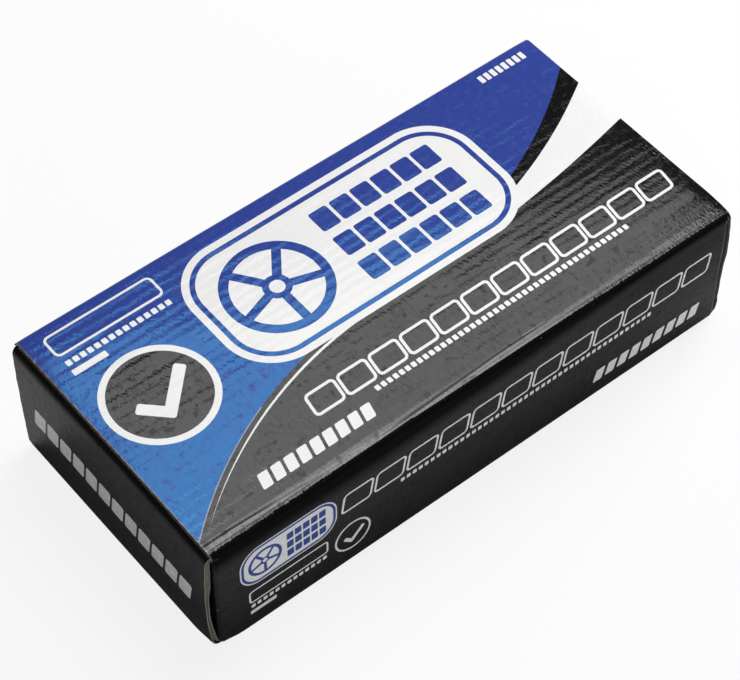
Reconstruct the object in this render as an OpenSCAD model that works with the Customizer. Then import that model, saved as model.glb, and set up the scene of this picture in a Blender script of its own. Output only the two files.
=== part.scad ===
// Closed retail carton of adhesive-backed wheel balance weights, in millimetres.
// One blank of fluted board makes the carton. Four panels wrap round the pack along X. At each
// end a closure panel rises from the base and tucks in under the top panel, and two dust flaps
// fold in behind it from the front and rear panels. The pack is full and shut, so the contents
// and the inner folds are one solid with the board.
// The origin is the centre of the base, with X along the carton and Z up.

/* [Carton] */
// Length of the top panel between its two raw edges
carton_l = 190; // [120:1:260]
// Width over the front and rear panels
carton_w = 93; // [60:1:140]
// Height from the base to the face of the top panel
carton_h = 49; // [34:0.5:80]

/* [Board] */
// Thickness of the fluted board
board_t = 1.6; // [1.2:0.05:2.2]
// Thickness of each flat liner
liner_t = 0.25; // [0.15:0.05:0.4]
// Thickness of the wavy sheet between the liners
wave_t = 0.2; // [0.1:0.05:0.3]
// Distance from one flute to the next
flute_pitch = 3.3; // [2.4:0.1:5]
// Share of a flute's half pitch that stays open beside the glue line
flute_open = 0.8; // [0.5:0.05:0.9]
// Depth to which the flutes and the core are open at a raw edge
core_depth = 2.5; // [0.5:0.25:6]

/* [Creases] */
// Outer radius of the two long creases along the top panel
top_crease_r = 3; // [2.5:0.25:5]
// Outer radius of the long crease between the base and the front panel
base_crease_r = 2.75; // [2.5:0.25:6]
// Outer radius of the upright folds between a side panel and its dust flaps
dust_fold_r = 1.5; // [0.5:0.25:3]
// Radius of the rounded groove that the score leaves along the front top crease
score_r = 0.5; // [0.2:0.05:0.8]
// Depth of that groove
score_depth = 0.25; // [0.1:0.05:0.4]

/* [Closures] */
// Outer radius of a closure panel's creases, at the base and at the tuck
closure_crease_r = 2.75; // [2.5:0.25:5]
// How far those creases stand out past the top panel's raw edge
closure_proud = 1.5; // [0.2:0.1:2]
// Further swell of the left closure panel at mid height
left_bow = 1.2; // [0.3:0.1:3]
// Further swell of the right closure panel at mid height
right_bow = 0.9; // [0.3:0.1:3]
// How far the rounded creases stand out of the swollen panel beside them
crease_lip = 0.08; // [0.04:0.02:0.3]
// How far the dust flaps lie in from the top panel's raw edge
dust_flap_in = 0.4; // [0:0.1:1.5]
// How far a closure's upright raw edges lie in from the front and rear panels
closure_side_in = 1.2; // [0.4:0.1:3]

/* [Glued seam] */
// Height of the rear panel's raw lower edge above the base
seam_z = 2; // [1:0.25:5]
// Outer radius of the crease between the base and the glue flap inside the rear panel
seam_crease_r = 2.5; // [2:0.25:4]

/* [Hidden] */
$fa = 2;
$fs = 0.5;

// A cut starts this far outside the solid it opens
cut_clear = 1;
// Points along the wavy side of one open flute
flute_steps = 7;
// How far behind its creases a closure's board starts, inside the packed tube
closure_lap = 0.3;
closure_h = carton_h - board_t;
// Half the height between the centres of a closure's two creases
swell_half_h = closure_h / 2 - closure_crease_r;
// Half the swing of the wavy sheet's middle line
wave_swing = (board_t - wave_t) / 2 - liner_t;
// Flat width of the top panel, between its two creases
top_flat_w = carton_w - 2 * top_crease_r;
flute_count = floor(top_flat_w / flute_pitch);

// Side panels, creases and panels across X, seen along the carton. Inset gives the inner face.
module tube_outline(inset = 0) {
    front_r = base_crease_r - inset;
    top_r = top_crease_r - inset;
    half_w = carton_w / 2 - inset;
    union() {
        translate([-half_w + front_r, inset])
            square([half_w - front_r, front_r]);
        translate([-half_w + front_r, inset + front_r])
            circle(front_r);
        translate([-half_w, inset + front_r])
            square([half_w, carton_h - 2 * inset - front_r - top_r]);
        for (side = [-1, 1])
            translate([side * (half_w - top_r), carton_h - inset - top_r])
                circle(top_r);
        translate([-half_w + top_r, carton_h / 2])
            square([2 * (half_w - top_r), carton_h / 2 - inset]);
        translate([0, seam_z + inset])
            square([half_w, carton_h - 2 * inset - seam_z - top_r]);
        seam_outline(inset);
    }
}

// The base's rear crease, which folds up inside the rear panel into the glue flap.
module seam_outline(inset = 0) {
    fold_y = carton_w / 2 - board_t - seam_crease_r;
    crease_r = seam_crease_r - inset;
    translate([0, inset])
        square([fold_y, carton_h / 2]);
    translate([0, inset + crease_r])
        square([fold_y + crease_r, carton_h / 2]);
    translate([fold_y, inset + crease_r])
        circle(crease_r);
}

// Radius of the arc that touches both creases of a closure and swells this far past them.
function touching_r(swell) = (swell_half_h ^ 2 + swell ^ 2) / (2 * swell) + closure_crease_r;

// End of the carton below the top panel, seen from the front, with the inside towards -X and
// the top panel's raw edge at X = 0. Inset gives the inner face.
module closure_outline(bow, inset = 0) {
    crease_x = closure_proud - closure_crease_r;
    swell = bow + crease_lip;
    centre_x = closure_proud + swell - touching_r(swell);
    past_x = 2 * crease_x - centre_x;
    inside = carton_l / 2 + cut_clear;
    translate([-inside, inset])
        square([inside + crease_x, closure_h - 2 * inset]);
    translate([0, closure_h / 2]) {
        for (side = [-1, 1])
            translate([crease_x, side * swell_half_h])
                circle(closure_crease_r - inset);
        intersection() {
            translate([centre_x, 0])
                circle(touching_r(swell) - crease_lip - inset);
            polygon([[centre_x, 0], [past_x, -2 * swell_half_h], [past_x, 2 * swell_half_h]]);
        }
    }
}

// Upright slice of the closure outline, as wide as given, standing across the carton.
module across(width) {
    translate([0, width / 2, 0])
        rotate([90, 0, 0])
            linear_extrude(width)
                children();
}

// Closure panel as a bent sheet of board between two faces of the end's outline. It starts
// behind its creases, where it shares volume with the packed tube.
module closure_sheet(bow, outer_inset, inner_inset, width) {
    start_x = min(closure_proud - closure_crease_r, -dust_flap_in) - closure_lap;
    across(width)
        difference() {
            closure_outline(bow, outer_inset);
            closure_outline(bow, inner_inset);
            translate([start_x - carton_l, 0])
                square([carton_l, closure_h]);
        }
}

module closure(bow) {
    width = carton_w - 2 * closure_side_in;
    difference() {
        closure_sheet(bow, 0, board_t, width);
        difference() {
            closure_sheet(bow, liner_t, board_t - liner_t, width + 2 * cut_clear);
            translate([-carton_l / 2, -width / 2 + core_depth, 0])
                cube([carton_l, width - 2 * core_depth, carton_h]);
        }
    }
}

// One open flute at a raw edge, against the upper liner. Mirrored, it lies against the lower.
module flute() {
    liner_z = board_t / 2 - liner_t;
    reach = flute_open * flute_pitch / 2;
    polygon(concat(
        [[reach, liner_z], [-reach, liner_z]],
        [for (i = [0 : flute_steps - 1]) let (y = reach * (2 * i / (flute_steps - 1) - 1))
            [y, wave_t / 2 - wave_swing * cos(360 * y / flute_pitch)]]
    ));
}

// The row of open flutes across one raw edge of the top panel.
module flute_row() {
    first = -(flute_count - 1) * flute_pitch / 2;
    for (i = [0 : flute_count - 1])
        translate([first + i * flute_pitch, 0])
            flute();
    for (i = [0 : flute_count - 2])
        translate([first + (i + 0.5) * flute_pitch, 0])
            mirror([0, 1])
                flute();
}

// Extrusion along X of an outline drawn with Y across and Z up.
module along(length) {
    translate([-length / 2, 0, 0])
        rotate([90, 0, 90])
            linear_extrude(length)
                children();
}

// Four wrapped panels with the packed contents and the dust flaps behind the closures.
module packed_tube() {
    length = carton_l - 2 * dust_flap_in;
    intersection() {
        along(length)
            tube_outline();
        linear_extrude(carton_h)
            for (side = [-1, 1], end = [-1, 1])
                dust_corner(length, side, end);
        union() {
            translate([-carton_l / 2, -carton_w / 2, closure_h])
                cube([carton_l, carton_w, board_t]);
            placed_end(1)
                across(carton_w)
                    closure_outline(right_bow);
            placed_end(-1)
                across(carton_w)
                    closure_outline(left_bow);
        }
    }
}

// A quarter of the packed tube's plan, with the rounded fold into one dust flap.
module dust_corner(length, side, end) {
    x = length / 2 - dust_fold_r;
    y = carton_w / 2 - dust_fold_r;
    mirror([end < 0 ? 1 : 0, 0])
        mirror([0, side < 0 ? 1 : 0]) {
            square([x, carton_w / 2]);
            square([length / 2, y]);
            translate([x, y])
                circle(dust_fold_r);
        }
}

// Places what is drawn for an end at the right end, or mirrored at the left.
module placed_end(end) {
    mirror([end < 0 ? 1 : 0, 0, 0])
        translate([carton_l / 2, 0, 0])
            children();
}

// Top panel with its two creases, which runs to a raw edge over each closure.
module top_panel() {
    along(carton_l)
        intersection() {
            difference() {
                tube_outline();
                tube_outline(board_t);
            }
            translate([-carton_w, carton_h - top_crease_r])
                square([2 * carton_w, top_crease_r]);
        }
}

module carton() {
    color([0.13, 0.13, 0.14])
        difference() {
            union() {
                packed_tube();
                top_panel();
                intersection() {
                    along(2 * carton_l)
                        tube_outline();
                    union() {
                        placed_end(1)
                            closure(right_bow);
                        placed_end(-1)
                            closure(left_bow);
                    }
                }
            }
            for (end = [-1, 1])
                placed_end(end)
                    translate([-core_depth, 0, carton_h - board_t / 2])
                        rotate([90, 0, 90])
                            linear_extrude(core_depth + cut_clear)
                                flute_row();
            translate([0, -carton_w / 2 + top_crease_r, carton_h + score_r - score_depth])
                rotate([0, 90, 0])
                    cylinder(h = carton_l + 2 * cut_clear, r = score_r, center = true);
        }
}

carton();
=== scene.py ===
# %% [markdown]
# A shut carton of wheel balance weights
#
# This lesson dresses one closed retail carton. The real one is a single blank of fluted board:
# two flat liners with a wavy sheet glued between them. It is printed, varnished, folded round
# the goods and tucked shut at both ends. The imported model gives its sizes, and every piece here
# is built in that same frame, in metres, so nothing has to be fitted afterwards.

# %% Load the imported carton
import math
import bpy
import bmesh
import numpy as np
from mathutils import Matrix, Vector, noise


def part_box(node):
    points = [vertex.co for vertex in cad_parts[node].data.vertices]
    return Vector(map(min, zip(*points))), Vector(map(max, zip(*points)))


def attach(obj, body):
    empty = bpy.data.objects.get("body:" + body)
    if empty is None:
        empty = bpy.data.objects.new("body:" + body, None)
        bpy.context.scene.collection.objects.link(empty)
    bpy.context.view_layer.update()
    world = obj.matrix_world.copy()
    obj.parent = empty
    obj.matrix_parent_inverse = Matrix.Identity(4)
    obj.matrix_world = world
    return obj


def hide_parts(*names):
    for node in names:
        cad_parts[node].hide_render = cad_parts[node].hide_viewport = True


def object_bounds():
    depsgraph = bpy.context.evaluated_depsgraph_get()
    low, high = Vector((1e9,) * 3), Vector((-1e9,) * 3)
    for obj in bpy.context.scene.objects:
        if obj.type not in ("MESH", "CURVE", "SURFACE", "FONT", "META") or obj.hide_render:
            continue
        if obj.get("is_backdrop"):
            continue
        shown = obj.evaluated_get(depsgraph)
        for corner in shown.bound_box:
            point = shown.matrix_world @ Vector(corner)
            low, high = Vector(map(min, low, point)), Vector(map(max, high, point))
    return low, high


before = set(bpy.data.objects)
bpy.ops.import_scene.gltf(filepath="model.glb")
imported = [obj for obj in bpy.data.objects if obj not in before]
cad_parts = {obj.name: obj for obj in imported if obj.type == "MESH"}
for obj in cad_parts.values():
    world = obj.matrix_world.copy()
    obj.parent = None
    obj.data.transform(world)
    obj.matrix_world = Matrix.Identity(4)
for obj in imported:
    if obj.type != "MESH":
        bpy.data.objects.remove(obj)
cad_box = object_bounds()
low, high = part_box("carton")
print("carton box in mm:", [round(1000 * v, 1) for v in (*low, *high)])

# %% [markdown]
# Sizes
#
# The closures swell out past the tube at both ends, so the carton's length is the box less
# those swells. The rest are the board and crease sizes of the solid model, in metres. The front
# crease has two arcs here, each with its radius and its turn in degrees. Of the hidden flaps only
# the first strip is made. END, SIDE and TOP are where the outer faces lie, in millimetres.

# %% Sizes of the board and its folds
MM = 0.001
PROUD = 1.5 * MM
LEFT_BOW = 1.2 * MM
RIGHT_BOW = 0.9 * MM
LENGTH = (high.x - low.x) - 2 * PROUD - LEFT_BOW - RIGHT_BOW
WIDTH = high.y - low.y
HEIGHT = high.z
BOARD = 1.6 * MM
LINER = 0.25 * MM
WAVE = 0.2 * MM
PITCH = 3.3 * MM
REAR_CREASE = 3 * MM
FRONT_SHOULDER = ((22 * MM, 10), (1.9 * MM, 80))
BASE_CREASE = 2.75 * MM
SEAM_CREASE = 2.5 * MM
SEAM_UP = 2 * MM
DUST_FOLD = 1.5 * MM
DUST_IN = 0.4 * MM
CLOSURE_CREASE = 2.75 * MM
CLOSURE_SIDE = 1.2 * MM
GLUE_FLAP = 4 * MM
DUST_FLAP = 14 * MM
TUCK_FLAP = 14 * MM
ENDS = ((-1, "left"), (1, "right"))
SIDES = ((-1, "front"), (1, "rear"))
END = LENGTH / 2 / MM
SIDE = WIDTH / 2 / MM
TOP = HEIGHT / MM
print("tube length, width and height in mm:", [round(v / MM, 1) for v in (LENGTH, WIDTH, HEIGHT)])

# %% [markdown]
# The camera
#
# The photograph was taken with a long lens from above the left end, so the carton's edges run
# nearly parallel. The angles, distance and lens here were fitted to those edges. The camera is
# level: it is turned only about the upright axis and tipped down.

# %% Camera
AZIMUTH = math.radians(-38.95)
ELEVATION = math.radians(52.15)
DISTANCE = 0.7513
AIM = Vector((-5.17 * MM, -2.01 * MM, HEIGHT / 2))
LENS = 124.67

back = Vector((math.sin(AZIMUTH) * math.cos(ELEVATION),
               -math.cos(AZIMUTH) * math.cos(ELEVATION),
               math.sin(ELEVATION)))
eye = AIM + DISTANCE * back
camera = bpy.data.objects.new("camera", bpy.data.cameras.new("camera"))
camera.data.lens = LENS
camera.data.sensor_width = 36
camera.data.clip_start = 0.05
camera.location = eye
camera.rotation_euler = (math.pi / 2 - ELEVATION, 0, AZIMUTH)
bpy.context.scene.collection.objects.link(camera)
bpy.context.scene.camera = camera
print("camera at", [round(v, 3) for v in eye])

# %% [markdown]
# Shader arithmetic
#
# A print is a drawing made of distances: a disc is the set of points nearer to its centre than
# its radius. Written as node links this takes hundreds of clicks. The class below wraps one
# shader socket, so that ordinary Python arithmetic adds the Math nodes.

# %% Sockets that can be added and multiplied
def join(tree, value, socket):
    if isinstance(value, Wire):
        tree.links.new(value.socket, socket)
    else:
        socket.default_value = value


def calculated(tree, operation, *values):
    node = tree.nodes.new("ShaderNodeMath")
    node.operation = operation
    for value, socket in zip(values, node.inputs):
        join(tree, value, socket)
    return Wire(tree, node.outputs[0])


class Wire:
    """One shader socket that takes part in Python arithmetic."""

    def __init__(self, tree, socket):
        self.tree = tree
        self.socket = socket

    def __add__(self, other):
        return calculated(self.tree, "ADD", self, other)

    def __radd__(self, other):
        return calculated(self.tree, "ADD", other, self)

    def __sub__(self, other):
        return calculated(self.tree, "SUBTRACT", self, other)

    def __rsub__(self, other):
        return calculated(self.tree, "SUBTRACT", other, self)

    def __mul__(self, other):
        return calculated(self.tree, "MULTIPLY", self, other)

    def __rmul__(self, other):
        return calculated(self.tree, "MULTIPLY", other, self)

    def __truediv__(self, other):
        return calculated(self.tree, "DIVIDE", self, other)

    def __mod__(self, other):
        return calculated(self.tree, "FLOORED_MODULO", self, other)

    def __abs__(self):
        return calculated(self.tree, "ABSOLUTE", self)

    def __neg__(self):
        return calculated(self.tree, "MULTIPLY", self, -1.0)

    def least(self, other):
        return calculated(self.tree, "MINIMUM", self, other)

    def most(self, other):
        return calculated(self.tree, "MAXIMUM", self, other)

    def root(self):
        return calculated(self.tree, "SQRT", self)

    def sine(self):
        return calculated(self.tree, "SINE", self)

    def angle_from(self, other):
        return calculated(self.tree, "ARCTAN2", self, other)

    def within(self):
        """The value kept between 0 and 1."""
        return self.most(0.0).least(1.0)


# %% [markdown]
# A finish
#
# Each material is one Finish. Its node method adds any node, and the other methods are the few
# that are used again and again: the place on the object in millimetres, noise, and a colour mix.

# %% The Finish class
class Finish:
    """A material under construction."""

    def __init__(self, name):
        self.material = bpy.data.materials.new(name)
        self.material.use_nodes = True
        self.tree = self.material.node_tree
        self.tree.nodes.clear()
        point = self.node("TexCoord", output="Object")
        self.point = self.node("VectorMath", {"operation": "SCALE"}, {0: point, "Scale": 1 / MM})
        self.xyz = [self.node("SeparateXYZ", values={0: self.point}, output=k) for k in range(3)]

    def node(self, kind, settings=None, values=None, output=0):
        node = self.tree.nodes.new("ShaderNode" + kind)
        for key, value in (settings or {}).items():
            setattr(node, key, value)
        for key, value in (values or {}).items():
            join(self.tree, value, node.inputs[key])
        return Wire(self.tree, node.outputs[output])

    def noise(self, grain, detail=2.0, rough=0.5, seed=0.0, point=None):
        """Noise from 0 to 1, whose grain is this many millimetres long on each axis."""
        shares = tuple(1 / g for g in grain)
        settings = {"operation": "MULTIPLY_ADD"}
        where = self.node("VectorMath", settings, {0: point or self.point, 1: shares,
                                                   2: (seed, seed, seed)})
        values = {"Vector": where, "Scale": 1.0, "Detail": detail, "Roughness": rough}
        return self.node("TexNoise", {"noise_dimensions": "3D"}, values)

    def mix(self, share, first, second):
        colours = [c if isinstance(c, Wire) else (*c, 1.0) for c in (first, second)]
        return self.node("Mix", {"data_type": "RGBA"}, {0: share, 6: colours[0], 7: colours[1]}, 2)

    def raised(self, height):
        """A normal that follows this height in millimetres."""
        return self.node("Bump", values={"Distance": MM, "Height": height})

    def shown(self, shader):
        output = self.tree.nodes.new("ShaderNodeOutputMaterial")
        self.tree.links.new(shader.socket, output.inputs["Surface"])
        return self.material


def window(value, middle, reach):
    """A smooth hump of height 1 at the middle, and 0 past its reach."""
    far = (value - middle) / reach
    hump = (1.0 - far * far).most(0.0)
    return hump * hump


def ramp(value, start, end):
    """0 at the start, 1 at the end and straight between, either way round."""
    return ((value - start) / (end - start)).within()


# %% [markdown]
# The mirrored lamp
#
# The studio is plain: a pale floor, an even grey surround, one softbox behind the carton, a
# lamp at the right and a low fill in front. The glossy top mirrors the softbox, and the line
# where that image ends is the photograph's most telling light. So the softbox is placed from
# it. The camera's rays through two points of that line are mirrored up, and where they meet the
# lamp's plane is its lower edge. It is made of strips that get stronger upwards. The level top
# mirrors the lowest two, and where it slopes to the front crease it mirrors the stronger ones.
# Both big lamps stand behind or beside the carton, so its shadow falls towards the camera and to
# the left, and there the upright faces mirror a dark floor.

# %% Softbox, side lamp and fill lamp
LAMP_AWAY = 0.9
# Where the level top mirrors the softbox's lower edge, and where that edge would end
LINE_LEFT = Vector((-95 * MM, 36.5 * MM, HEIGHT))
LINE_RIGHT = Vector((95 * MM, -24.5 * MM, HEIGHT))
LAMP_RIGHT = Vector((107 * MM, -25.0 * MM, HEIGHT))
LAMP_LEFT = Vector((-106 * MM, 37.0 * MM, HEIGHT))
NEAR_CORNER = Vector((-95 * MM, -46.5 * MM, HEIGHT))
# Each strip's extra width at the right, its depth and its radiance, from the lower edge up
STRIPS = ((0.0, 0.11, 2.7), (0.04, 0.11, 2.8), (0.09, 0.11, 5.2), (0.15, 0.10, 7.4),
          (0.19, 0.17, 7.8))
# Name, place, width, depth and radiance of the other two
OTHER_LAMPS = (("side", (1.012, 0.242, 0.363), 0.7, 0.7, 9.2),
               ("fill", (-0.55, -1.10, 0.42), 0.6, 0.4, 5.0))


def mirrored(point):
    """Direction in which the camera's ray leaves a level face at this point."""
    ray = (point - eye).normalized()
    return Vector((ray.x, ray.y, -ray.z))


facing = mirrored(Vector((0, 0, HEIGHT)))
lamp_plane = Vector((0, 0, HEIGHT)) + LAMP_AWAY * facing


def met_by(point):
    """Where the ray that is mirrored at this point meets the lamp's plane."""
    ray = mirrored(point)
    return point + ray * ((lamp_plane - point).dot(facing) / ray.dot(facing))


def lamp(name, centre, across, shine, wide, deep, radiance):
    """A rectangular lamp that is this wide along one direction and shines along another."""
    light = bpy.data.lights.new(name, "AREA")
    light.shape = "RECTANGLE"
    light.size = wide
    light.size_y = deep
    light.energy = radiance * math.pi * wide * deep
    axes = Matrix((across, (-shine).cross(across), -shine)).transposed()
    lamp_object = bpy.data.objects.new(name, light)
    lamp_object.matrix_world = Matrix.Translation(centre) @ axes.to_4x4()
    bpy.context.scene.collection.objects.link(lamp_object)


across = (met_by(LINE_RIGHT) - met_by(LINE_LEFT)).normalized()
upward = met_by(NEAR_CORNER) - met_by(LINE_LEFT)
upward = (upward - upward.dot(across) * across).normalized()
lower_edge = met_by(LINE_RIGHT)
right_end, left_end = ((met_by(p) - lower_edge).dot(across) for p in (LAMP_RIGHT, LAMP_LEFT))
risen = 0.0
for index, (wider, deep, radiance) in enumerate(STRIPS):
    span = (left_end - wider / 3, right_end + wider)
    centre = lower_edge + across * (span[0] + span[1]) / 2 + upward * (risen + deep / 2)
    lamp(f"softbox_{index + 1}", centre, across, -facing, span[1] - span[0], deep, radiance)
    risen += deep

for name, place, wide, deep, radiance in OTHER_LAMPS:
    shine = (Vector((0, 0, HEIGHT / 2)) - Vector(place)).normalized()
    level = shine.cross(Vector((0, 0, 1))).normalized()
    lamp(name, Vector(place), level, shine, wide, deep, radiance)
print("softbox", round(right_end - left_end, 2), "m wide and", round(risen, 2), "m high")

# %% World and floor
SURROUND = 0.07
# How far the floor is lifted to white for the camera, and dimmed for whatever mirrors it
LIFTED = 0.85
DIMMED = 0.6

world = bpy.data.worlds.new("surround")
world.use_nodes = True
world.node_tree.nodes["Background"].inputs["Color"].default_value = (SURROUND, SURROUND, SURROUND, 1)
bpy.context.scene.world = world
bpy.context.scene.view_settings.view_transform = "Standard"


def floor_finish():
    """Pale matt floor, which is seen almost white and mirrored darker than it is."""
    finish = Finish("pale_floor")
    speck = finish.noise((60, 60, 60))
    colour = finish.mix(speck, (0.84, 0.84, 0.84), (0.9, 0.9, 0.9))
    matt = finish.node("BsdfPrincipled", values={"Base Color": colour, "Roughness": 0.9,
                                                 "Specular IOR Level": 0.1})
    white = finish.node("Emission", values={"Strength": 1.0})
    dark = finish.node("Emission", values={"Strength": 0.0})
    seen = finish.node("LightPath", output="Is Camera Ray") * LIFTED
    glossy = finish.node("LightPath", output="Is Glossy Ray") * DIMMED
    lifted = finish.node("MixShader", values={0: seen, 1: matt, 2: white})
    return finish.shown(finish.node("MixShader", values={0: glossy, 1: lifted, 2: dark}))


def flat_square(name, half, z):
    mesh = bpy.data.meshes.new(name)
    corners = [(-half, -half, z), (half, -half, z), (half, half, z), (-half, half, z)]
    mesh.from_pydata(corners, [], [(0, 1, 2, 3)])
    square = bpy.data.objects.new(name, mesh)
    bpy.context.scene.collection.objects.link(square)
    return square


floor = flat_square("floor", 3.0, 0.0)
floor.data.materials.append(floor_finish())
floor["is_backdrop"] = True

# %% [markdown]
# A folded sheet, seen end-on
#
# Every panel of the carton is a strip of board that runs straight, bends round a crease and runs
# straight again. A walk describes it: so far ahead, then a left turn of this radius, and so on.
# The outer face is always on the walker's right, so its outward direction is known everywhere.

# %% Walk along a folded face
class Walk:
    """Points, outward directions and distance walked along a folded face, seen end-on."""

    def __init__(self, start, heading):
        self.at = np.array(start, float)
        self.heading = math.radians(heading)
        self.points = [self.at.copy()]
        self.outward = [self.right()]
        self.walked = [0.0]

    def right(self):
        return np.array((math.sin(self.heading), -math.cos(self.heading)))

    def step(self, length):
        self.points.append(self.at.copy())
        self.outward.append(self.right())
        self.walked.append(self.walked[-1] + length)

    def ahead(self, length, stride):
        count = max(1, round(length / stride))
        direction = np.array((math.cos(self.heading), math.sin(self.heading)))
        for _ in range(count):
            self.at = self.at + direction * length / count
            self.step(length / count)
        return len(self.points) - 1

    def left(self, radius, degrees, stride):
        centre = self.at - radius * self.right()
        arc = radius * math.radians(degrees)
        count = max(6, round(arc / stride))
        for _ in range(count):
            self.heading += math.radians(degrees) / count
            self.at = centre + radius * self.right()
            self.step(arc / count)
        return len(self.points) - 1

    def part(self, first, last):
        """The points, outward directions and distances of one stretch."""
        return [np.array(v[first:last + 1]) for v in (self.points, self.outward, self.walked)]


def crease_reach(arcs):
    """How far ahead and aside a turn through these arcs takes a walk."""
    ahead = aside = turned = 0.0
    for radius, degrees in arcs:
        start = math.radians(turned)
        turned += degrees
        end = math.radians(turned)
        ahead += radius * (math.sin(end) - math.sin(start))
        aside += radius * (math.cos(start) - math.cos(end))
    return ahead, aside


# %% [markdown]
# Wear and handling
#
# Board is never dead flat. The panels sag a little, the top has been pressed down at its near
# left corner, and its ends droop where nothing holds them up. The rear panel leans in towards the
# right. All of it goes inwards, so the dressed carton never grows past the solid one.

# %% How far each point has sunk or drifted
def wavy(point, grain, seed):
    """Smooth noise from 0 to 1 at a point in millimetres, with this grain."""
    return 0.5 + 0.5 * noise.noise(Vector(point) / grain + Vector((seed, 2 * seed, 3 * seed)))


def hump(value, middle, reach):
    """A smooth hump of height 1 at the middle, and 0 past its reach."""
    far = (value - middle) / reach
    return max(0.0, 1 - far * far) ** 2


def slope(value, start, end):
    """0 at the start, 1 at the end, and smooth between."""
    share = min(1.0, max(0.0, (value - start) / (end - start)))
    return share * share * (3 - 2 * share)


def droop(past, bend):
    """How far a free end hangs down this far past its support."""
    return bend * max(0.0, past) ** 2


def sunk(point):
    """Depth in millimetres by which the board has gone in at a point in millimetres."""
    return 0.10 * wavy(point, 38, 1) + 0.03 * wavy(point, 12, 2)


def pressed(x, y):
    """How far the top has been pushed down, most at its near left corner, in millimetres."""
    corner = 1.15 * slope(x, -20, -97) * slope(y, -4, -56)
    crease = 0.7 * slope(x, 20, 85) * slope(y, -34, -48)
    right_end = droop(x - 88, 0.0048) * slope(y, -43, -22)
    right_end += droop(x - 92.2, 0.012) * slope(y, -22, -43)
    left_end = droop(-88 - x, 0.0020) * slope(y, -46, -10)
    return corner + crease + right_end + left_end


def tube_drift(point):
    """How far the tube as a whole has moved at a point, in millimetres."""
    x, y, z = point
    lift = 1.8 * hump(x, -96, 10) * hump(y, -46.5, 10) * (1 - slope(z, 2, 16))
    lift -= pressed(x, y) * slope(z, 25, 44)
    narrow = -0.5 * slope(y, 0, SIDE) * slope(x, -END, END)
    return 0.0, narrow, lift


def settled(points, outward, drift):
    """The points moved in by their own depth, and with the part that they belong to."""
    moved = points.copy()
    for index in np.ndindex(points.shape[:-1]):
        place = points[index] / MM
        moved[index] += (np.array(drift(place)) - outward[index] * sunk(place)) * MM
    return moved


# %% [markdown]
# From a path to board
#
# A path carried sideways gives a grid of points. Each grid becomes a closed plate: the outer
# face, the inner face a liner's thickness deeper, and rims all round. The three kinds of face
# keep their own finish: print outside, plain liner inside and raw fibre on the rims.

# %% Plates from a grid
PRINTED, PLAIN, RAW, SECOND, THIRD = range(5)


def plate(name, points, outward, depth, thick, finishes, panel=None):
    """A closed plate under a grid of points, with the finish that panel(row) names outside."""
    rows, columns = points.shape[:2]
    depth = np.broadcast_to(depth, (rows, columns))[..., None]
    upper = points - outward * depth
    under = points - outward * (depth + thick)
    verts = np.concatenate([upper.reshape(-1, 3), under.reshape(-1, 3)])
    n = rows * columns
    faces = []
    kinds = []
    for i in range(rows - 1):
        for j in range(columns - 1):
            a = i * columns + j
            b, c, d = a + 1, a + columns + 1, a + columns
            faces += [(a, b, c, d), (d + n, c + n, b + n, a + n)]
            kinds += [panel(i) if panel else PRINTED, PLAIN]
    ring = [(0, j) for j in range(columns - 1)] + [(i, columns - 1) for i in range(rows - 1)]
    ring += [(rows - 1, j) for j in range(columns - 1, 0, -1)]
    ring += [(i, 0) for i in range(rows - 1, 0, -1)]
    for (i, j), (k, m) in zip(ring, ring[1:] + ring[:1]):
        a, b = i * columns + j, k * columns + m
        faces.append((b, a, a + n, b + n))
        kinds.append(RAW)
    return piece(name, verts, faces, kinds, finishes)


def piece(name, verts, faces, kinds, finishes):
    """A mesh object with one finish per face, its faces pointing out."""
    mesh = bpy.data.meshes.new(name)
    mesh.from_pydata([tuple(v) for v in verts], [], faces)
    for finish in finishes:
        mesh.materials.append(finish)
    mesh.polygons.foreach_set("material_index", kinds)
    work = bmesh.new()
    work.from_mesh(mesh)
    bmesh.ops.recalc_face_normals(work, faces=work.faces)
    work.to_mesh(mesh)
    work.free()
    mesh.shade_smooth()
    mesh.set_sharp_from_angle(angle=math.radians(40))
    made = bpy.data.objects.new(name, mesh)
    bpy.context.scene.collection.objects.link(made)
    print(name, "has", len(mesh.polygons), "faces")
    return made


# %% [markdown]
# The print
#
# The print is generic and says what is inside without a word. It has a blue field at the rear
# left and a black one at the front, parted by a tapering white stripe, a white panel that shows a
# wheel and strips of weights, a round badge with a tick, and rows of plain blocks and bars. It
# could be a painted picture, but drawn by rules it stays sharp at any distance. Each shape gives
# the distance to its edge in millimetres.

# %% Shapes as distances
def disc(u, v, centre, radius):
    du = u - centre[0]
    dv = v - centre[1]
    return (du * du + dv * dv).root() - radius


def slab(u, v, centre, half, corner=0.3):
    """Distance to a rectangle with rounded corners."""
    du = abs(u - centre[0]) - (half[0] - corner)
    dv = abs(v - centre[1]) - (half[1] - corner)
    outside = (du.most(0.0) * du.most(0.0) + dv.most(0.0) * dv.most(0.0)).root()
    return outside + du.most(dv).least(0.0) - corner


def rim(distance, width):
    """Distance to a line of this width along a shape's edge."""
    return abs(distance) - width / 2


def either(*distances):
    joined = distances[0]
    for distance in distances[1:]:
        joined = joined.least(distance)
    return joined


def row(u, v, span, mid_v, count, half, corner=0.3, lean=0.0, line=None):
    """Distance to a row of equal blocks along a span of u, leaning, or drawn as lines."""
    start, end = span
    pitch = (end - start) / count
    tilted = u + (v - mid_v) * lean - start
    block = slab(tilted % pitch - pitch / 2, v - mid_v, (0.0, 0.0), half, corner)
    if line:
        block = rim(block, line)
    return block.most(abs(tilted - (end - start) / 2) - (end - start) / 2)


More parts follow.
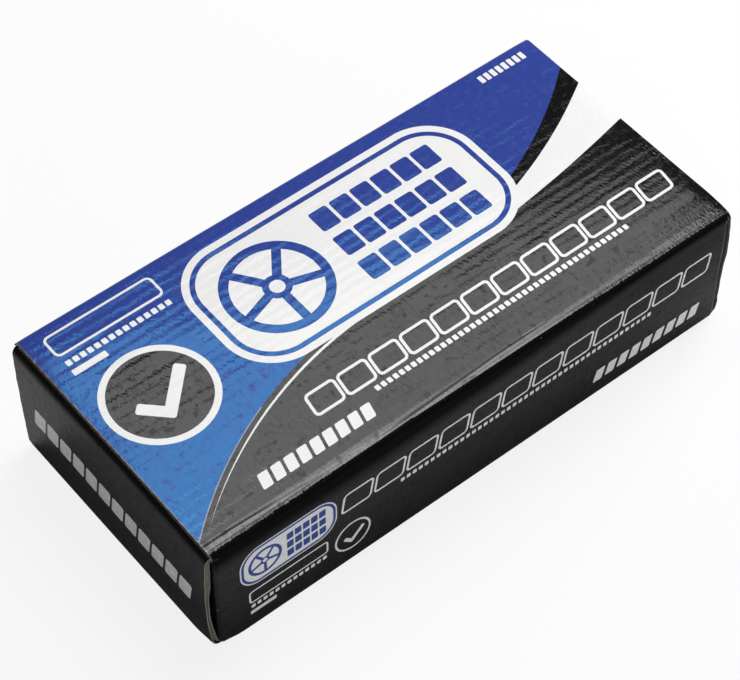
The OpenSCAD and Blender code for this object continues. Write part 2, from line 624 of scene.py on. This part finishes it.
def wheel(u, v, centre, radius, spokes=5):
    """Distance to a plain wheel seen from the side: rim, spokes and hub."""
    du = u - centre[0]
    dv = v - centre[1]
    away = (du * du + dv * dv).root()
    turn = dv.angle_from(du) * (spokes / (2 * math.pi)) + 0.25
    sideways = abs((turn % 1.0) - 0.5) * (2 * math.pi / spokes) * away
    spoke = (sideways - 0.085 * radius).most(rim(away - 0.52 * radius, 0.66 * radius))
    return either(rim(away - 0.91 * radius, 0.18 * radius), spoke,
                  rim(away - 0.2 * radius, 0.12 * radius))


def tick(u, v, centre, size):
    """Distance to a tick made of two leaning strokes."""
    du = u - centre[0]
    dv = v - centre[1]
    along = (du + dv) * math.sqrt(0.5)
    over = (du - dv) * math.sqrt(0.5)
    short = slab(along, over, (0.0, -0.34 * size), (0.34 * size, 0.11 * size), 0.05 * size)
    long = slab(along, over, (0.23 * size, 0.1 * size), (0.11 * size, 0.55 * size), 0.05 * size)
    return either(short, long)


# %% [markdown]
# Ink
#
# The press lays one ink over another. The sheet below keeps the colour so far, and how much of
# a point is blue, because the varnish over the blue sends back a bluer light than over black.

# %% A sheet that takes inks
BLUE = (0.034, 0.059, 0.31)
BLACK = (0.0038, 0.0038, 0.0042)
WHITE = (0.87, 0.87, 0.865)
PALE_BLUE = (0.30, 0.33, 0.42)
BARE_BOARD = (0.16, 0.13, 0.10)
# Light grey of worn specks on the edges and of the painted highlight on the near right fold
SCUFF_AND_HIGHLIGHT = (0.42, 0.40, 0.36)


class Sheet:
    """The print of one face: its colour and its blueness."""

    def __init__(self, finish, colour):
        self.finish = finish
        self.colour = finish.mix(0.0, colour, colour)
        self.blueness = 0.0

    def lay(self, distance, colour, soft=0.12):
        """Lay an ink inside a shape, given by the distance to its edge."""
        share = (0.5 - distance / soft).within()
        self.colour = self.finish.mix(share, self.colour, colour)
        self.blueness = (1.0 - share) * self.blueness
        if colour == BLUE:
            self.blueness = self.blueness + share


def sweep(u, v, level, first, second):
    """Distance to the area behind an S-shaped line of two arcs that meet, level, at u = 90."""
    before = -disc(u, v, (90.0, level + first), first)
    after = disc(u, v, (90.0, level - second), second)
    return before + (after - before) * ramp(u, 89.9, 90.1)


def top_print(finish):
    """The top's print, with u from the left edge and v from the rear edge."""
    u = finish.xyz[0] + END
    v = SIDE - finish.xyz[1]
    sheet = Sheet(finish, BLACK)
    field = sweep(u, v, 53.0, 135.0, 158.0)
    stripe = sweep(u, v, 55.5, 135.9, 470.0).most(-sweep(u, v, 54.6, 132.6, 188.0))
    sheet.lay(field, BLUE)
    sheet.lay(stripe, WHITE)
    sheet.lay(rim(field, 0.3).most(u - 40.0), PALE_BLUE)
    card = slab(u, v, (97.0, 31.5), (52.0, 24.5), 17.0)
    strips = either(*[row(u, v, (92.0, 138.0), mid, 6, (3.3, 4.1), 0.9)
                      for mid in (20.0, 31.5, 43.0)])
    sheet.lay(card, WHITE)
    sheet.lay(either(rim(card + 3.2, 1.7), wheel(u, v, (69.5, 31.5), 17.0), strips), BLUE)
    badge_at = (20.8, 41.5)
    badge = disc(u, v, badge_at, 17.3)
    sheet.lay(badge, WHITE)
    sheet.lay(badge + 2.1, BLACK)
    sheet.lay(either(
        tick(u, v, badge_at, 17.0),
        rim(slab(u, v, (24.5, 9.3), (18.3, 3.8), 1.6), 0.8),
        row(u, v, (6.2, 43.0), 16.7, 15, (0.85, 1.0)),
        slab(u, v, (12.0, 20.5), (5.8, 1.1)),
        row(u, v, (166.5, 185.0), 6.4, 8, (0.8, 1.5)),
        row(u, v, (50.0, 185.0), 71.0, 12, (4.9, 3.7), 1.3, 0.15, 0.95),
        row(u, v, (68.0, 163.0), 77.6, 44, (0.75, 0.9)),
        row(u, v, (24.0, 64.0), 82.3, 9, (1.7, 2.5), 0.5, 0.25),
    ), WHITE)
    fibre = finish.noise((0.8, 0.8, 0.8), 3.0, 0.6, 21.0)
    sheet.lay(0.5 * fibre + u - 0.55, BARE_BOARD, 0.2)
    return sheet


def front_print(finish):
    """The front's print, with u from the left end and v down from the top."""
    u = finish.xyz[0] + END
    v = TOP - finish.xyz[2]
    sheet = Sheet(finish, BLACK)
    card = slab(u, v, (25.4, 18.8), (16.8, 8.6), 7.0)
    strips = either(*[row(u, v, (24.5, 38.5), mid, 5, (1.15, 1.5)) for mid in (15.0, 19.0, 23.0)])
    sheet.lay(card, WHITE)
    sheet.lay(either(rim(card + 0.9, 0.9), wheel(u, v, (17.2, 18.8), 5.8), strips), BLUE)
    badge_at = (47.7, 35.2)
    sheet.lay(either(
        rim(disc(u, v, badge_at, 6.1), 0.7),
        tick(u, v, badge_at, 6.2),
        rim(slab(u, v, (25.0, 32.8), (13.6, 2.6), 1.0), 0.6),
        row(u, v, (11.4, 38.6), 37.4, 13, (0.7, 0.75)),
        slab(u, v, (15.9, 40.3), (4.5, 0.8)),
        row(u, v, (43.7, 184.0), 17.8, 12, (5.1, 3.9), 1.3, 0.15, 0.75),
        row(u, v, (64.7, 161.0), 24.4, 44, (0.7, 0.8)),
        row(u, v, (139.0, 182.0), 38.3, 9, (1.75, 2.6), 0.5, 0.25),
    ), WHITE)
    return sheet


def left_print(finish):
    """The left end's print, with u from the rear and v down from the top."""
    u = SIDE - finish.xyz[1]
    v = TOP - finish.xyz[2]
    sheet = Sheet(finish, BLACK)
    sheet.lay(row(u, v, (8.0, 85.5), 26.0, 12, (2.75, 4.2), 1.0, 0.2), WHITE)
    return sheet


def plain_print(finish):
    return Sheet(finish, BLACK)


# %% [markdown]
# Varnished print on fluted board
#
# The varnish is glossy, so what shows its shape is what it mirrors. The flutes telegraph through
# as shallow washboard lines that come and go. Fibre lies across them: it combs their edges into
# teeth and adds a fine hatch. The long front crease is scored and wrinkled. All of it is height
# in millimetres for one Bump node. Where the fibre drinks the varnish it dries duller, in spots
# and in strokes that gather in patches. Where the front crease has crushed the varnish it mirrors
# almost nothing. Specks of wear show light grey along the outer edges. A light line along the
# near right fold is a painted highlight in the same colour.

# %% Relief and dull strokes of the board
def grained(along, length, width):
    """The size of a grain that is this long on one axis and this wide on the others."""
    return tuple(length if axis == along else width for axis in range(3))


def relief(finish, down, along):
    """Height of the varnish where flutes that run along one axis lie side by side down another."""
    comb = (finish.noise(grained(along, 0.5, 2.4), 1.0, 0.5, 31.0) - 0.5) * 2.8
    offset = finish.node("CombineXYZ", values={down: comb})
    combed = finish.node("VectorMath", {"operation": "ADD"}, {0: finish.point, 1: offset})
    fade = ramp(finish.noise(grained(along, 17, 4.5), 2.0), 0.34, 0.64)
    turns = (finish.xyz[down] + comb) * (2 * math.pi / (PITCH / MM))
    wash = turns.sine() * (0.002 + 0.011 * fade)
    streaks = finish.noise(grained(along, 11, 3.6), 2.0, point=combed) * 0.024
    swell = finish.noise((45, 45, 45)) * 0.3
    hatch = finish.noise(grained(along, 0.5, 2.0), 2.0, 0.6) * 0.006
    return wash + streaks + swell + hatch


def dull_strokes(finish, along):
    """Share of the varnish that has dried dull, from 0 to 1."""
    strokes = ramp(finish.noise(grained(along, 0.55, 2.4), 3.0, 0.6, 11.0), 0.42, 0.72)
    patches = ramp(finish.noise(grained(along, 13, 6), 2.0, 0.5, 5.0), 0.36, 0.66)
    spots = ramp(finish.noise((2.6, 2.6, 2.6), 1.0, 0.5, 17.0), 0.6, 0.7)
    return (strokes * (0.18 + 0.5 * patches)).most(spots * 0.7)


def top_relief(finish):
    """The top also has a score line, pebbles, and wrinkles along its front crease and ends."""
    x, y = finish.xyz[:2]
    middle = ramp(abs(x + 5.0), 32.0, 20.0)
    wrinkle = finish.noise((0.9, 1.6, 1.6), 2.0) * ramp(y, -44.1, -44.9)
    wrinkle = wrinkle * (0.01 + 0.22 * ramp(x, -48.0, -62.0) + 0.16 * ramp(x, 20.0, 45.0))
    pebble = finish.noise((2.2, 1.8, 1.8), 1.0, seed=7.0) * ramp(x, 30.0, 85.0)
    pebble = pebble * ramp(y, -10.0, -38.0) * 0.03
    fray = finish.noise((1.0, 1.3, 1.3), 2.0, seed=9.0) * ramp(abs(x), 88.0, 94.0) * 0.014
    score_y = 1.3 * ramp(x, -30.0, 8.0) - 42.4 - 1.6 * ramp(x, -85.0, -50.0)
    score = 0.035 * ramp(x, -52.0, -62.0) + 0.07 * ramp(x, -70.0, -78.0) + 0.07 * middle
    score = window(y, score_y, 0.35) * score
    ridge = window(y, score_y - 0.7, 0.5) * middle * 0.03
    return relief(finish, 1, 0) + wrinkle + pebble + fray - score + ridge


# %% Varnished and raw finishes
def crushed(finish):
    """1 where the front crease has crushed the varnish, fading down the front at the right."""
    x, y, z = finish.xyz
    lowest = 37.5 + 4.0 * ramp(x, -35.0, 70.0)
    fading = 0.55 * ramp(z, 16.0, 40.0) * ramp(x, 5.0, 60.0)
    return ramp(z - lowest, 0.0, 5.5).most(fading) * ramp(y, -45.3, -46.0)


def varnished(name, draw, height, along):
    """Printed and varnished board. Draw gives the sheet, and height the relief."""
    finish = Finish(name)
    sheet = draw(finish)
    normal = finish.raised(height(finish))
    mottle = finish.noise((7, 7, 7), 3.0)
    # Specks of wear along the outer edges, joined with the painted highlight on the near right fold
    scuff_and_highlight = ramp(finish.noise((1.3, 1.3, 1.3), 4.0, 0.7, 3.0), 0.66, 0.76) * worn(finish)
    scuff_and_highlight = scuff_and_highlight.most(painted_fold_highlight(finish))
    colour = finish.mix(scuff_and_highlight, sheet.colour, SCUFF_AND_HIGHLIGHT)
    glossy_rough = 0.055 + mottle * 0.03 + scuff_and_highlight * 0.5

    def coat(rough, level, more=None):
        values = {"Base Color": colour, "Roughness": rough, "Specular IOR Level": level,
                  "Normal": normal}
        return finish.node("BsdfPrincipled", values={**values, **(more or {})})

    def over(share, under, upper):
        return finish.node("MixShader", values={0: share, 1: under, 2: upper})

    shader = coat(glossy_rough, 0.5)
    if isinstance(sheet.blueness, Wire):
        tint = {"IOR": 1.6, "Specular Tint": (0.1, 0.6, 1.0, 1.0)}
        shader = over(sheet.blueness, shader, coat(glossy_rough, 0.85, tint))
    shader = over(dull_strokes(finish, along), shader, coat(0.3, 0.25))
    shader = over(crushed(finish), shader, coat(0.5, 0.03))
    return finish.shown(shader)


def worn(finish):
    """1 along the carton's outer edges and 0 over its panels."""
    x, y, z = finish.xyz
    top_edge = ramp(z, TOP - 1.6, TOP - 0.4)
    long_edge = ramp(abs(y), SIDE - 2.2, SIDE - 0.8) * top_edge
    end_edge = ramp(abs(x), END - 0.9, END - 0.1) * top_edge
    upright = ramp(abs(y), SIDE - 2.0, SIDE - 0.6) * ramp(abs(x), END - 2.2, END - 1.0)
    return long_edge.most(end_edge).most(upright)


def painted_fold_highlight(finish):
    """A painted highlight: a light line along the upright fold at the near right corner."""
    x, y, z = finish.xyz
    line = window(x + 0.4 * finish.noise((2.0, 2.0, 2.0)), 94.3, 0.45) * ramp(y, -45.4, -46.0)
    return line * ramp(z, 22.0, 30.0) * ramp(z, 47.5, 45.0) * 0.8


def fibre_finish(name, dark, pale, grain):
    """Bare fibre between two colours, with a grain of this many millimetres."""
    finish = Finish(name)
    speck = finish.noise((grain, grain, grain), 4.0, 0.65)
    values = {"Base Color": finish.mix(speck, dark, pale), "Roughness": 0.85,
              "Specular IOR Level": 0.2, "Normal": finish.raised(speck * 0.05)}
    return finish.shown(finish.node("BsdfPrincipled", values=values))


def side_relief(finish):
    return relief(finish, 2, 0)


def closure_relief(finish):
    return relief(finish, 1, 2)


varnished_top = varnished("varnished_top", top_print, top_relief, 0)
varnished_front = varnished("varnished_front", front_print, side_relief, 0)
varnished_left = varnished("varnished_left", left_print, closure_relief, 2)
varnished_end = varnished("varnished_end", plain_print, closure_relief, 2)
varnished_side = varnished("varnished_side", plain_print, side_relief, 0)
plain_liner = fibre_finish("plain_liner", (0.13, 0.12, 0.10), (0.28, 0.26, 0.22), 1.5)
raw_edge = fibre_finish("raw_edge", (0.12, 0.11, 0.09), (0.40, 0.38, 0.33), 0.6)
# Near-black fibre: painted shade on the cut edges and waves of the right closure
painted_shade_edge = fibre_finish("painted_shade_edge", (0.004, 0.004, 0.004), (0.025, 0.023, 0.02), 0.6)
wavy_fibre = fibre_finish("wavy_fibre", (0.12, 0.11, 0.09), (0.34, 0.31, 0.26), 0.8)
print("finishes:", sorted(m.name for m in bpy.data.materials))

# %% [markdown]
# The wrapped tube
#
# The walk starts at the rear panel's raw lower edge, goes up and over the top, down the front
# and back under the base, and ends in the glue flap behind the rear panel. The front crease has
# a soft shoulder before its tight roll. The top panel runs the whole length, and the side panels
# stop a little short, where their dust flaps fold in.

# %% Outer and inner liner of the tube
SIDE_X = LENGTH / 2 - DUST_IN - DUST_FOLD
# A short first row below the front crease keeps the two prints' border sharp
FIRST_ROW = 0.1 * MM


def tube_walk(stride):
    """The tube's outer face, and the rows at which the top, the front and the base begin."""
    shoulder_ahead, shoulder_aside = crease_reach(FRONT_SHOULDER)
    walk = Walk((WIDTH / 2, SEAM_UP), 90)
    top_start = walk.ahead(HEIGHT - REAR_CREASE - SEAM_UP, stride)
    walk.left(REAR_CREASE, 90, stride / 3)
    walk.ahead(WIDTH - REAR_CREASE - shoulder_ahead, stride)
    for radius, degrees in FRONT_SHOULDER:
        front_start = walk.left(radius, degrees, stride / 4)
    walk.ahead(FIRST_ROW, stride)
    walk.ahead(HEIGHT - shoulder_aside - BASE_CREASE - FIRST_ROW, stride)
    base_start = walk.left(BASE_CREASE, 90, stride / 3)
    walk.ahead(WIDTH - BASE_CREASE - BOARD - SEAM_CREASE, 2 * stride)
    walk.left(SEAM_CREASE, 90, stride / 3)
    walk.ahead(GLUE_FLAP, stride)
    return walk, top_start, front_start, base_start


def carried_along_x(path, out, reach, count):
    """Grid of a path carried along X. Reach gives each row's half length."""
    share = np.linspace(-1, 1, count)
    points = np.zeros((len(path), count, 3))
    outward = np.zeros_like(points)
    points[..., 0] = np.outer(np.broadcast_to(reach, len(path)), share)
    points[..., 1:] = path[:, None, :]
    outward[..., 1:] = out[:, None, :]
    return points, outward


wrap, top_start, front_start, base_start = tube_walk(1.5 * MM)
path, out, _ = wrap.part(0, len(wrap.points))
reach = np.full(len(path), SIDE_X)
reach[top_start + 1:front_start + 1] = LENGTH / 2
points, outward = carried_along_x(path, out, reach, 110)
points = settled(points, outward, tube_drift)


def tube_panel(i):
    if i < top_start or i >= base_start:
        return THIRD
    return PRINTED if i < front_start else SECOND


finishes = [varnished_top, plain_liner, raw_edge, varnished_front, varnished_side]
pieces = []
for part, depth in (("outer", 0.0), ("inner", BOARD - LINER)):
    name = f"tube_{part}_liner"
    pieces.append(plate(name, points, outward, depth, LINER, finishes, tube_panel))

# %% [markdown]
# Dust flaps
#
# Behind each closure the front and rear panels fold in by a quarter turn. Only the fold and a
# strip of the flap can be seen, through the gap beside the swollen closure.

# %% Upright folds into the dust flaps
def dust_flap(name, side, end):
    """One upright fold, with side -1 at the front and end -1 at the left."""
    walk = Walk((SIDE_X, 0), 0)
    walk.left(DUST_FOLD, 90, 0.3 * MM)
    walk.ahead(DUST_FLAP, 2 * MM)
    path, out, _ = walk.part(0, len(walk.points))
    z_low = BASE_CREASE if side < 0 else SEAM_UP
    zs = np.linspace(z_low, HEIGHT - REAR_CREASE, 34)
    points = np.zeros((len(path), len(zs), 3))
    outward = np.zeros_like(points)
    points[..., 0] = end * path[:, None, 0]
    points[..., 1] = side * (WIDTH / 2 - path[:, None, 1])
    points[..., 2] = zs
    outward[..., 0] = end * out[:, None, 0]
    outward[..., 1] = -side * out[:, None, 1]
    points = settled(points, outward, tube_drift)
    finishes = [varnished_front if side < 0 else varnished_side, plain_liner, raw_edge]
    return plate(name, points, outward, 0.0, BOARD, finishes)


for side, side_name in SIDES:
    for end, end_name in ENDS:
        pieces.append(dust_flap(f"{side_name}_{end_name}_dust_flap", side, end))

# %% [markdown]
# Closures
#
# Each closure rises from the base round a crease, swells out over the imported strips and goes
# round a second crease into the tuck under the top panel. The swell is one large arc that meets
# both creases without a kink, so its radius follows from how far it stands out. The left one
# swells most beside the front. The right one is pressed in below the middle. Their upright edges
# are a little ragged.

# %% Shape of the closures
EDGE_Y = WIDTH / 2 - CLOSURE_SIDE
# How far a closure's face is followed in under the base, and how wide its ragged edge is
UNDER_BASE = 10 * MM
RAGGED = 5 * MM


def closure_walk(bow, stride):
    """Outer face of a closure, seen from the front, with the raw edge of the top at 0."""
    half = (HEIGHT - BOARD) / 2 - CLOSURE_CREASE
    radius = (half * half + bow * bow) / (2 * bow) + CLOSURE_CREASE
    lean = math.degrees(math.asin(half / (radius - CLOSURE_CREASE)))
    walk = Walk((PROUD - CLOSURE_CREASE - UNDER_BASE, 0), 0)
    walk.ahead(UNDER_BASE, 2 * MM)
    walk.left(CLOSURE_CREASE, 90 - lean, stride / 3)
    walk.left(radius, 2 * lean, stride)
    walk.left(CLOSURE_CREASE, 90 - lean, stride / 3)
    walk.ahead(TUCK_FLAP, 2 * MM)
    return walk


def crease_lift(y, z):
    """The base's own creases lift the foot of a closure at its two ends."""
    over = max(0.0, abs(y) - (SIDE - BASE_CREASE / MM))
    radius = BASE_CREASE / MM
    return (radius - math.sqrt(max(0.0, radius * radius - over * over))) * (1 - slope(z, 3, 9))


def left_drift(point):
    """The left closure leans out at the top, and swells most towards the front."""
    _, y, z = point
    foot = CLOSURE_CREASE / MM
    share = min(1.0, max(0.0, (z - foot) / (TOP - BOARD / MM - 2 * foot)))
    bow = 0.2 + 0.9 * slope(y, SIDE, -SIDE)
    out = -0.2 + 0.42 * share + (bow - LEFT_BOW / MM) * 4 * share * (1 - share)
    _, narrow, lift = tube_drift(point)
    return -out, narrow, lift + crease_lift(y, z)


def right_drift(point):
    """The right closure is pressed in below the middle, beside the front."""
    _, y, z = point
    front = slope(y, 20, -30)
    out = 0.2 * hump(z, 37, 12) - 0.8 * front * hump(z, 16, 13)
    _, narrow, lift = tube_drift(point)
    return out, narrow, lift + crease_lift(y, z)


def board_gap(point):
    """Thickness between the outer faces of both liners in millimetres. Handling changes it."""
    x, y, z = point
    near = hump(y, -EDGE_Y / MM, 8) if x < 0 else 0.0
    return BOARD / MM + near * (0.4 * hump(z, 36, 9) - 0.42 * hump(z, 20, 13))


def ragged(z, seed):
    """How far a cut edge strays in millimetres at this height."""
    return 0.5 * (wavy((0, 0, z), 5, seed) - 0.5) + 0.25 * (wavy((0, 0, z), 1.6, seed) - 0.5)


def closure_grid(bow, end, ys, stride, drift):
    """Grid of a closure over the given rows of y, with its outward directions."""
    walk = closure_walk(bow, stride)
    path, out, _ = walk.part(0, len(walk.points))
    points = np.zeros((len(path), len(ys), 3))
    outward = np.zeros_like(points)
    points[..., 0] = end * (LENGTH / 2 + path[:, None, 0])
    points[..., 1] = ys
    points[..., 2] = path[:, None, 1]
    outward[..., 0] = end * out[:, None, 0]
    outward[..., 2] = out[:, None, 1]
    edge = np.clip((np.abs(ys) - EDGE_Y + RAGGED) / RAGGED, 0, 1) * np.sign(ys)
    stray = np.array([ragged(z / MM, 4 + end) * MM for z in path[:, 1]])
    points[..., 1] += stray[:, None] * edge
    return settled(points, outward, drift), outward


def gap_of(points):
    """The board's thickness at each point of a grid, in metres."""
    return np.apply_along_axis(lambda p: board_gap(p / MM) * MM, -1, points)


closures = ((-1, "left", LEFT_BOW, varnished_left, left_drift),
            (1, "right", RIGHT_BOW, varnished_end, right_drift))
for end, name, bow, finish, drift in closures:
    points, outward = closure_grid(bow, end, np.linspace(-EDGE_Y, EDGE_Y, 64), 1.5 * MM, drift)
    # The right closure's rims take the painted shade instead of raw fibre
    finishes = [finish, plain_liner, raw_edge if end < 0 else painted_shade_edge]
    pieces.append(plate(f"{name}_closure_outer_liner", points, outward, 0.0, LINER, finishes))
    inner = gap_of(points) - LINER
    pieces.append(plate(f"{name}_closure_inner_liner", points, outward, inner, LINER, finishes))

# %% [markdown]
# The wavy sheet
#
# Where the board is cut, the wavy sheet shows between the liners. It follows a rule, so Geometry
# Nodes makes it. The mesh that goes in is the middle face of the board. Each point of it knows
# how far along the waves it lies, which way is out, and how much room there is. The nodes push
# it out by a sine of the first, and give it thickness. Noise crushes some of the waves.

# %% Node tree of the wavy sheet
def wave_tree():
    tree = bpy.data.node_groups.new("wavy_sheet", "GeometryNodeTree")
    face = tree.interface
    face.new_socket("Middle face", in_out="INPUT", socket_type="NodeSocketGeometry")
    for name in ("Pitch", "Swing", "Thickness", "Crush", "Grain"):
        face.new_socket(name, in_out="INPUT", socket_type="NodeSocketFloat")
    face.new_socket("Finish", in_out="INPUT", socket_type="NodeSocketMaterial")
    face.new_socket("Sheet", in_out="OUTPUT", socket_type="NodeSocketGeometry")
    given = tree.nodes.new("NodeGroupInput").outputs

    def add(kind, settings=None, values=None, output=0):
        node = tree.nodes.new(kind)
        for key, value in (settings or {}).items():
            setattr(node, key, value)
        for key, value in (values or {}).items():
            if isinstance(value, bpy.types.NodeSocket):
                tree.links.new(value, node.inputs[key])
            else:
                node.inputs[key].default_value = value
        return node.outputs[output]

    def number(operation, *values):
        return add("ShaderNodeMath", {"operation": operation}, dict(enumerate(values)))

    def stored(name, kind="FLOAT"):
        return add("GeometryNodeInputNamedAttribute", {"data_type": kind}, {"Name": name})

    turns = number("MULTIPLY", number("DIVIDE", stored("walked"), given["Pitch"]), 2 * math.pi)
    where = add("ShaderNodeVectorMath", {"operation": "SCALE"},
                {0: add("GeometryNodeInputPosition"), "Scale": number("DIVIDE", 1.0, given["Grain"])})
    rumple = add("ShaderNodeTexNoise", {"noise_dimensions": "3D"}, {"Vector": where, "Scale": 1.0})
    kept = number("SUBTRACT", 1.0, number("MULTIPLY", rumple, given["Crush"]))
    swing = number("MULTIPLY", number("MULTIPLY", number("SINE", turns), given["Swing"]), kept)
    swing = number("MULTIPLY", swing, stored("room"))
    offset = add("ShaderNodeVectorMath", {"operation": "SCALE"},
                 {0: stored("outward", "FLOAT_VECTOR"), "Scale": swing})
    waved = add("GeometryNodeSetPosition", None, {"Geometry": given["Middle face"], "Offset": offset})
    raised = add("GeometryNodeExtrudeMesh", {"mode": "FACES"},
                 {"Mesh": waved, "Offset Scale": given["Thickness"], "Individual": False})
    under = add("GeometryNodeFlipFaces", None, {"Mesh": waved})
    both = tree.nodes.new("GeometryNodeJoinGeometry")
    tree.links.new(under, both.inputs[0])
    tree.links.new(raised, both.inputs[0])
    closed = add("GeometryNodeMergeByDistance", None, {"Geometry": both.outputs[0], "Distance": 1e-6})
    real = add("GeometryNodeRealizeInstances", None, {"Geometry": closed})
    finished = add("GeometryNodeSetMaterial", None, {"Geometry": real, "Material": given["Finish"]})
    tree.links.new(finished, tree.nodes.new("NodeGroupOutput").inputs["Sheet"])
    return tree


waves = wave_tree()
print("wavy sheet tree has", len(waves.nodes), "nodes")

# %% Run the nodes and keep a plain mesh
def wavy_sheet(name, points, outward, walked, room, finish):
    """The wavy sheet on a grid of points in the middle of the board."""
    rows, columns = points.shape[:2]
    mesh = bpy.data.meshes.new(name + "_middle")
    faces = [(i * columns + j, i * columns + j + 1, (i + 1) * columns + j + 1, (i + 1) * columns + j)
             for i in range(rows - 1) for j in range(columns - 1)]
    mesh.from_pydata([tuple(v) for v in points.reshape(-1, 3)], [], faces)
    for key, values in (("walked", walked), ("room", room)):
        stored = mesh.attributes.new(key, "FLOAT", "POINT").data
        stored.foreach_set("value", np.broadcast_to(values, (rows, columns)).ravel())
    stored = mesh.attributes.new("outward", "FLOAT_VECTOR", "POINT").data
    stored.foreach_set("vector", outward.ravel())
    middle = bpy.data.objects.new(name + "_middle", mesh)
    bpy.context.scene.collection.objects.link(middle)
    modifier = middle.modifiers.new("waves", "NODES")
    modifier.node_group = waves
    sizes = {"Pitch": PITCH, "Swing": (BOARD - WAVE) / 2 - LINER, "Thickness": WAVE,
             "Crush": 0.5, "Grain": 5 * MM, "Finish": finish}
    for socket in waves.interface.items_tree:
        if socket.in_out == "INPUT" and socket.name in sizes:
            modifier[socket.identifier] = sizes[socket.name]
    evaluated = middle.evaluated_get(bpy.context.evaluated_depsgraph_get())
    mesh = bpy.data.meshes.new_from_object(evaluated)
    made = bpy.data.objects.new(name, mesh)
    bpy.context.scene.collection.objects.link(made)
    bpy.data.objects.remove(middle)
    print(name, "has", len(mesh.polygons), "faces")
    return made


# %% Waves at the raw ends of the top and at the sides of the closures
# Share of the room between the liners that the waves take up
FILLED = 0.92
fine, top_start, front_start, _ = tube_walk(PITCH / 10)
path, out, walked = fine.part(top_start, front_start)
walked = walked[:, None]
for end, name in ENDS:
    points, outward = carried_along_x(path, out, 1.0, 4)
    points[..., 0] = end * np.linspace(LENGTH / 2 - 2.6 * MM, LENGTH / 2 - 0.15 * MM, 4)
    points = settled(points, outward, tube_drift) - outward * (BOARD + WAVE) / 2
    name = f"top_{name}_waves"
    pieces.append(wavy_sheet(name, points, outward, walked, FILLED, wavy_fibre))

for end, end_name, bow, _, drift in closures:
    # The right closure's waves take the painted shade instead of raw fibre
    finish = wavy_fibre if end < 0 else painted_shade_edge
    for side, side_name in SIDES:
        ys = side * np.linspace(EDGE_Y - 5 * MM, EDGE_Y - 0.1 * MM, 16)
        points, outward = closure_grid(bow, end, np.sort(ys), 1.5 * MM, drift)
        gap = gap_of(points)
        room = FILLED * (gap - WAVE - 2 * LINER) / (BOARD - WAVE - 2 * LINER)
        points = points - outward * (gap / 2 + WAVE / 2)[..., None]
        walked = np.abs(points[..., 1]) - EDGE_Y + 2.5 * MM
        name = f"{end_name}_{side_name}_closure_waves"
        pieces.append(wavy_sheet(name, points, outward, walked, room, finish))

# %% [markdown]
# Keep every piece on the carton
#
# The carton is one rigid body, so every piece rides on the root. Together they stand for the
# solid, which stays hidden.

# %% Ride and replace
for made in pieces:
    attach(made, "root")
    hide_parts("carton")

# %% Print both boxes
visual_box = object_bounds()
sizes = {"cad": [list(map(float, c)) for c in cad_box],
         "visual": [list(map(float, c)) for c in visual_box]}
print({key: [[round(v / MM, 2) for v in c] for c in box] for key, box in sizes.items()})
